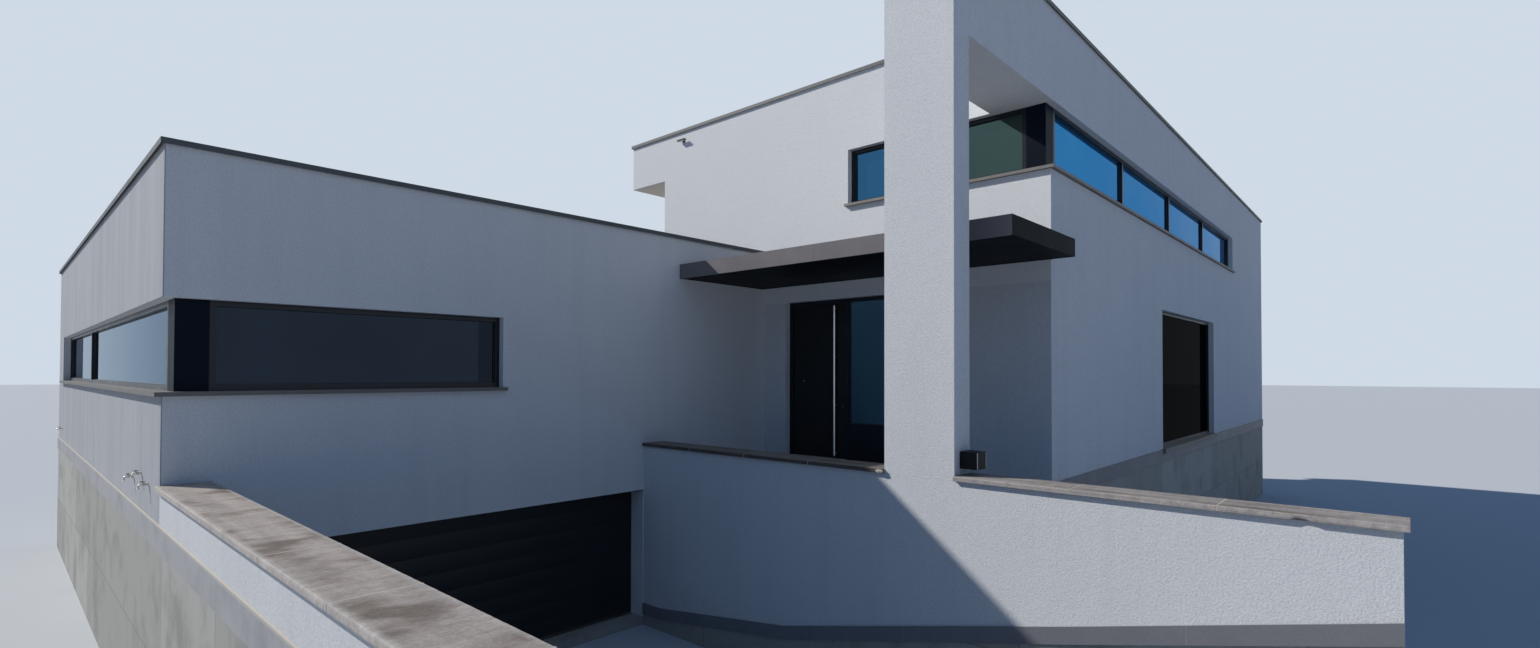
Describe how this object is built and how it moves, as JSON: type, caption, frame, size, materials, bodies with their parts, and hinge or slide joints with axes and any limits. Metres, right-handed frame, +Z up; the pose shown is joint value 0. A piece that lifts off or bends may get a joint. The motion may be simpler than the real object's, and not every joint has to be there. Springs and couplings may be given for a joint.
{
  "type": "detached house",
  "caption": "White flat-roofed modern house with a low wing over a sunken garage, a pylon portal, an entrance canopy and ramp walls.",
  "frame": {"origin": "centre of the footprint box at the level the basement stands on", "axes": "+Z up, +X along the garden front away from the wing, +Y from the ramp towards the back"},
  "size_m": [28.375, 23.522, 9.362],
  "materials": {
    "white_render": "fine grained mineral render, matt white",
    "base_render": "smooth cement base coat",
    "concrete": "cast concrete below ground",
    "screed": "trowelled floor screed",
    "roofing": "flat roof covering",
    "roof_trim": "powder coated anthracite",
    "garage_panel": "black sectional panels",
    "canopy_panel": "anodised anthracite panels",
    "bluestone": "honed bluestone",
    "coping_stone": "weathered bluestone",
    "window_frame": "powder coated anthracite",
    "window_glass": "clear double glazing",
    "post_cladding": "satin anthracite cladding",
    "door_panel": "satin anthracite door panel",
    "stainless_steel": "brushed",
    "lamp_housing": "black powder coat",
    "tap_metal": "weathered nickel plate"
  },
  "bodies": {
    "house": {"garage_floor": "concrete", "wing_basement_walls": "concrete", "house_foundation": "concrete", "ramp_footings": "concrete", "ground_floor": "screed", "first_floor": "screed", "wing_front_wall": "white_render", "wing_left_wall": "white_render", "wing_back_wall": "white_render", "wing_right_wall": "white_render", "wing_roof": "roofing", "wing_roof_trim": "roof_trim", "garage_door": "garage_panel", "garage_door_trim": "roof_trim", "entrance_wall_left": "white_render", "entrance_wall_right": "white_render", "upper_west_wall": "white_render", "south_wall": "white_render", "east_wall": "white_render", "north_wall": "white_render", "roof_band": "white_render", "portal_beam": "white_render", "main_roof": "roofing", "main_roof_trim": "roof_trim", "pylon": "white_render", "canopy": "canopy_panel", "ground_window_sills": "bluestone", "ground_window_frames": "window_frame", "ground_window_glass": "window_glass", "upper_window_sills": "bluestone", "upper_window_frames": "window_frame", "upper_window_glass": "window_glass", "corner_posts": "post_cladding", "door_frame": "window_frame", "sidelight_glass": "window_glass", "right_retaining_wall": "white_render", "left_retaining_wall": "white_render", "retaining_copings": "coping_stone", "stone_plinths": "bluestone", "base_strip": "base_render", "wall_lamps": "lamp_housing", "garden_taps": "tap_metal"},
    "door": {"front_door": "door_panel", "door_pull_bar": "stainless_steel"}
  },
  "joints": [
    {"name": "front_door_hinge", "type": "hinge", "parent": "house", "child": "door", "pos_m": [-4.9605, -3.117, 3.95], "axis": [0, 0, 1], "range_deg": [0, 90]}
  ]
}
